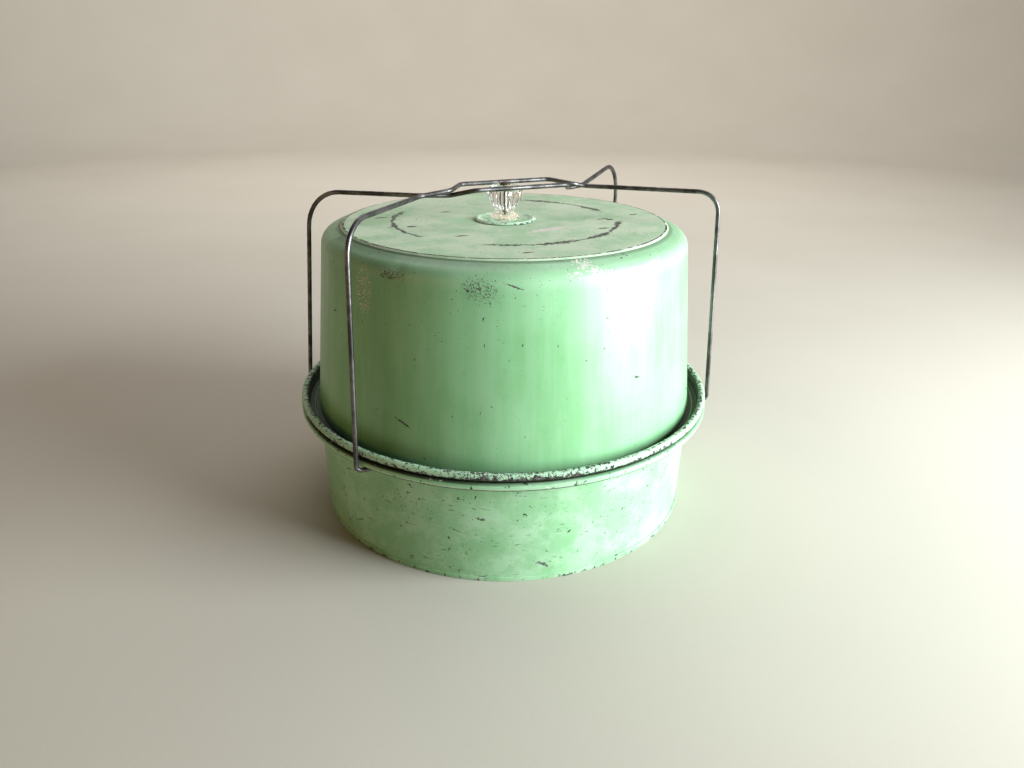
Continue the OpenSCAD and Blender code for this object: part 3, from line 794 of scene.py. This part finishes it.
def build_tray(material):
    floor_z = TRAY_LOW.z + SHEET
    ridge = rounded([(TRAY_RIDGE_R - 2.4, floor_z), (TRAY_RIDGE_R - 0.5, floor_z), (TRAY_RIDGE_R, floor_z + 1.0),
                     (TRAY_RIDGE_R + 0.5, floor_z), (TRAY_WALL_R, floor_z), (TRAY_WALL_R, TRAY_BEAD_Z - 0.1)],
                    [0.5, 0.45, 0.5, 0.9], steps=5)
    curl = arc(TRAY_BEAD_RING, TRAY_BEAD_Z, TRAY_BEAD_R, 180, -150, 28)
    path = refined([(0.0, floor_z)] + ridge[:-1], 6.0) + curl

    def shape(angles, radius, height):
        push = wobble(angles, [(3, 0.05, 1.4), (11, 0.03, 0.2), (47, 0.02, 1.0)])
        lift = wobble(angles, [(2, 0.08, 0.0), (23, 0.02, 0.5)])
        on_rim = np.clip((height - 77) / 3, 0, 1)
        return radius + push * on_rim, height + lift * on_rim

    vertices, faces = lathe(thickened(path, SHEET, -1), shape, turns=480)
    return new_piece("tray", vertices, faces, "tray", ["cake_tray"], material)


def build_rosette(material):
    low, high = node_mm("knob_rosette")
    well_z = low.z + SHEET
    crest_z = low.z + 0.62 * (high.z - low.z)
    path = rounded([(2.4, well_z), (15.6, well_z), (18.4, crest_z), (19.4, crest_z), (21.0, low.z + 0.35)],
                   [1.2, 0.6, 0.6], steps=6)

    def shape(angles, radius, height):
        near_edge = np.clip((radius - 15) / 5, 0, 1)
        return radius + near_edge * wobble(angles, [(5, 0.10, 0.3), (14, 0.05, 1.2)]), height

    vertices, faces = lathe(thickened(refined(path, 0.8), SHEET * 0.8, -1), shape, turns=240)
    return new_piece("rosette", vertices, faces, "cover", ["knob_rosette"], material)


def build_knob(material):
    """A pressed glass knob: a faceted cup on a narrower waist over a stepped foot."""
    low, high = node_mm("knob_glass")
    base_z = low.z
    height = high.z - low.z
    widest = high.x
    flutes = 14
    bore = SCREW_R + 0.2
    # Share of the widest radius, and share of the height, from the foot up to the crown.
    cup = [(0.74, 0.0), (0.87, 0.012), (0.91, 0.05), (0.86, 0.095), (0.70, 0.14), (0.58, 0.19), (0.545, 0.25),
           (0.60, 0.32), (0.74, 0.41), (0.88, 0.52), (0.97, 0.64), (1.0, 0.73), (0.985, 0.82), (0.92, 0.92),
           (0.83, 0.985), (0.76, 1.0), (0.60, 0.985), (0.42, 0.975)]
    points = [(widest * r, base_z + height * z) for r, z in cup]
    outline = smooth_through(points, 6) + [(bore, base_z + height * 0.975), (bore, base_z)]

    def shape(angles, radius, z):
        within = (angles * flutes / TAU) % 1.0 - 0.5
        hollow = (1 - (2 * within) ** 2) * 0.75
        share = (z - base_z) / height
        depth = np.interp(share, [0, 0.05, 0.2, 0.27, 0.36, 0.6, 0.9, 1.0], [0.25, 0.4, 0.4, 0.15, 0.5, 1.0, 0.7, 0.2])
        depth = depth * (radius > widest * 0.55)
        return radius - hollow * depth, z

    vertices, faces = lathe(outline, shape, turns=flutes * 18)
    return new_piece("knob", vertices, faces, "cover", ["knob_glass"], material, sharp_degrees=28)


def smooth_through(points, steps):
    """A smooth curve through a row of (r, z) points."""
    p = np.array([points[0]] + list(points) + [points[-1]])
    out = []
    for i in range(1, len(p) - 2):
        for k in range(steps):
            t = k / steps
            out.append(tuple(0.5 * (2 * p[i] + (p[i + 1] - p[i - 1]) * t
                                    + (2 * p[i - 1] - 5 * p[i] + 4 * p[i + 1] - p[i + 2]) * t**2
                                    + (3 * p[i] - p[i - 1] - 3 * p[i + 1] + p[i + 2]) * t**3)))
    out.append(tuple(p[-2]))
    return out


# Each bail has a regular shape, in these dimensions, and shoulders that are bent by hand.
SHOULDER_X = 123.8
SHOULDER_Y = 63.8
SHOULDER_Z = 217.6
MEET_X = 60.0
MEET_Z = 217.4
PART_LEFT_X = 39.0
PART_RIGHT_X = 48.0
PART_Z = 218.0
CROSS_RISE = 1.9
EYE_LEFT_X = 27.0
EYE_RIGHT_X = 40.0
EYE_Y = 13.6
EYE_Z = node_mm("front_bail")[1].z - WIRE_R
SIDE_BY_SIDE = 1.6
BAR_BEND = 7

# For each bail, which side it stands on, and the push and bend radius of its left and right shoulders.
BAILS = {
    "front": {"face": -1, "left": ((2, 0, -1), 21), "right": ((2, -2, 1), 14)},
    "rear": {"face": 1, "left": ((5, -2, -3), 28), "right": ((5, -1, 8), 34)},
}


def bail_corners(face, left_push, right_push):
    """Corners of a bail from its left shoulder, round the knob and past the other bail, to its right one."""
    side = face * SIDE_BY_SIDE
    cross_z = PART_Z - face * CROSS_RISE
    return [
        Vector((-SHOULDER_X, face * SHOULDER_Y, SHOULDER_Z)) + Vector(left_push),
        Vector((-MEET_X, side, MEET_Z)), Vector((-PART_LEFT_X, side, cross_z)),
        Vector((-EYE_LEFT_X, -face * EYE_Y, EYE_Z)), Vector((EYE_RIGHT_X, -face * EYE_Y, EYE_Z)),
        Vector((PART_RIGHT_X, side, cross_z)), Vector((MEET_X, side, MEET_Z)),
        Vector((SHOULDER_X, face * SHOULDER_Y, SHOULDER_Z)) + Vector(right_push)]


def build_bail(name, material):
    face = BAILS[name]["face"]
    left_push, left_bend = BAILS[name]["left"]
    right_push, right_bend = BAILS[name]["right"]
    hook = [Vector((HOOK_X, face * (HINGE_Y + HOOK_REACH), HINGE_Z)), Vector((HOOK_X, face * HINGE_Y, HINGE_Z)),
            Vector((FOOT_X, face * HINGE_Y, HINGE_Z))]
    mirrored = [Vector((-p.x, p.y, p.z)) for p in hook]
    points = mirrored + bail_corners(face, left_push, right_push) + hook[::-1]
    bends = [3, 3.2, left_bend] + [BAR_BEND] * 6 + [right_bend, 3.2, 3]
    vertices, faces = tube(rounded_space(points, bends), WIRE_R)
    node = name + "_bail"
    return new_piece(name + "_handle", vertices, faces, node, [node], material, sharp_degrees=60)


# ---------------------------------------------------------------- stage
CAMERA_TURN = math.radians(24.8)
CAMERA_TILT = math.radians(24.06)
CAMERA_ROLL = 0.011
CAMERA_PLACE = (-0.2027, -0.4529, 0.2967)
CAMERA_LENS = 25.43


def camera():
    data = bpy.data.cameras.new("camera")
    data.sensor_width = 36.0
    data.lens = CAMERA_LENS
    data.clip_start = 0.01
    lens = bpy.data.objects.new("camera", data)
    aim = Vector((math.sin(CAMERA_TURN) * math.cos(CAMERA_TILT), math.cos(CAMERA_TURN) * math.cos(CAMERA_TILT),
                  -math.sin(CAMERA_TILT)))
    turn = aim.to_track_quat("-Z", "Y").to_matrix().to_4x4()
    lens.matrix_world = Matrix.Translation(CAMERA_PLACE) @ turn @ Matrix.Rotation(CAMERA_ROLL, 4, "Z")
    bpy.context.scene.collection.objects.link(lens)
    bpy.context.scene.camera = lens


def toward_camera(right, away, up):
    """A place given to the right of, away from and above the middle, as the camera sees it."""
    c, s = math.cos(CAMERA_TURN), math.sin(CAMERA_TURN)
    return Vector((right * c + away * s, -right * s + away * c, up))


def softbox(name, place, aim_at, width, height, power, colour):
    data = bpy.data.lights.new(name, "AREA")
    data.shape = "RECTANGLE"
    data.size = width
    data.size_y = height
    data.energy = power
    data.color = colour
    light = bpy.data.objects.new(name, data)
    light.matrix_world = Matrix.Translation(place) @ (aim_at - place).to_track_quat("-Z", "Y").to_matrix().to_4x4()
    bpy.context.scene.collection.objects.link(light)


def stage():
    g = Graph("floor")
    tone = g.mix(g.noise(g.mm, 260.0, 3.0), (0.45, 0.41, 0.35, 1), (0.50, 0.46, 0.40, 1))
    g.surface(Base_Color=tone, Roughness=0.9, Specular_IOR_Level=0.1, Normal=g.bump(g.noise(g.mm, 3.0, 3.0), 0.05))
    floor_r, bend_r, wall_top = 3.2, 0.9, 1.5
    bowl = [(0.0, 0.0), (floor_r - bend_r, 0.0)] + arc(floor_r - bend_r, bend_r, bend_r, -80, 0, 8) + [(floor_r, wall_top)]
    vertices = [(0.0, 0.0, 0.0)]
    faces = []
    sides = 96
    for r, z in bowl[1:]:
        vertices += [(r * math.cos(TAU * k / sides), r * math.sin(TAU * k / sides), z) for k in range(sides)]
    for k in range(sides):
        n = (k + 1) % sides
        faces.append((0, 1 + k, 1 + n))
        for ring in range(len(bowl) - 2):
            low, high = 1 + ring * sides, 1 + (ring + 1) * sides
            faces.append((low + k, high + k, high + n, low + n))
    mesh = bpy.data.meshes.new("floor")
    mesh.from_pydata(vertices, [], faces)
    mesh.shade_smooth()
    mesh.materials.append(g.material)
    floor = bpy.data.objects.new("floor", mesh)
    bpy.context.scene.collection.objects.link(floor)

    middle = Vector((0, 0, 0.11))
    backdrop = toward_camera(0.0, 2.9, 0.0)
    softbox("window", toward_camera(1.03, -0.38, 0.36), middle, 0.70, 0.80, 45, (0.87, 0.97, 1.0))
    softbox("ceiling", toward_camera(0.10, 0.50, 1.4), middle, 1.6, 1.2, 8, (1.0, 0.98, 0.95))
    softbox("bounce", toward_camera(-0.9, -0.7, 0.36), middle, 0.9, 0.4, 1.6, (1.0, 0.60, 0.15))
    softbox("wash", toward_camera(0.0, 1.3, 1.7), backdrop, 2.6, 1.2, 55, (1.0, 0.98, 0.95))

    world = bpy.data.worlds.new("studio")
    world.use_nodes = True
    tree = world.node_tree
    shade = tree.nodes["Background"]
    shade.inputs["Color"].default_value = (0.80, 0.80, 0.70, 1)
    shade.inputs["Strength"].default_value = 0.02
    seen = tree.nodes.new("ShaderNodeBackground")
    seen.inputs["Color"].default_value = (0.86, 0.85, 0.81, 1)
    path = tree.nodes.new("ShaderNodeLightPath")
    direct = tree.nodes.new("ShaderNodeMath")
    direct.operation = "MAXIMUM"
    tree.links.new(path.outputs["Is Camera Ray"], direct.inputs[0])
    tree.links.new(path.outputs["Is Transmission Ray"], direct.inputs[1])
    both = tree.nodes.new("ShaderNodeMixShader")
    tree.links.new(direct.outputs[0], both.inputs[0])
    tree.links.new(shade.outputs[0], both.inputs[1])
    tree.links.new(seen.outputs[0], both.inputs[2])
    tree.links.new(both.outputs[0], tree.nodes["World Output"].inputs["Surface"])
    bpy.context.scene.world = world
    bpy.context.scene.view_settings.view_transform = "Standard"


def main():
    wall_paint = enamel("wall_enamel", wall_wear)
    shoulder_paint = enamel("shoulder_enamel", shoulder_wear)
    panel_paint = enamel("panel_enamel", panel_wear, pale_colour=PANEL_BLOOM_AND_SHEEN, streak=0.3, dull=0.20, shine=0.25)
    drum_paint = enamel("drum_enamel", drum_wear, streak=0.5, dull=0.05)
    tray_paint = enamel("tray_enamel", tray_wear, streak=0.2, dull=0.03)
    rosette_paint = enamel("rosette_enamel", rosette_wear, streak=0.2, dull=0.05, metal_size=1.2)
    wire = bail_steel()
    screw = screw_steel()
    fibre = pressed_fibre()

    build_cover(wall_paint, shoulder_paint, panel_paint)
    build_drum(drum_paint)
    build_bottom(drum_paint)
    build_tray(tray_paint)
    build_rosette(rosette_paint)
    build_knob(knob_glass())
    for name in BAILS:
        build_bail(name, wire)

    finishes = {"base_rim_wire": wire, "tray_rim_wire": wire, "knob_gasket": fibre, "knob_top_washer": fibre,
                "knob_screw": screw, "knob_inner_washer": screw, "knob_nut": screw}
    for name, finish in finishes.items():
        node = frame["nodes"][name]
        node.data.materials.clear()
        node.data.materials.append(finish)

    camera()
    stage()


main()
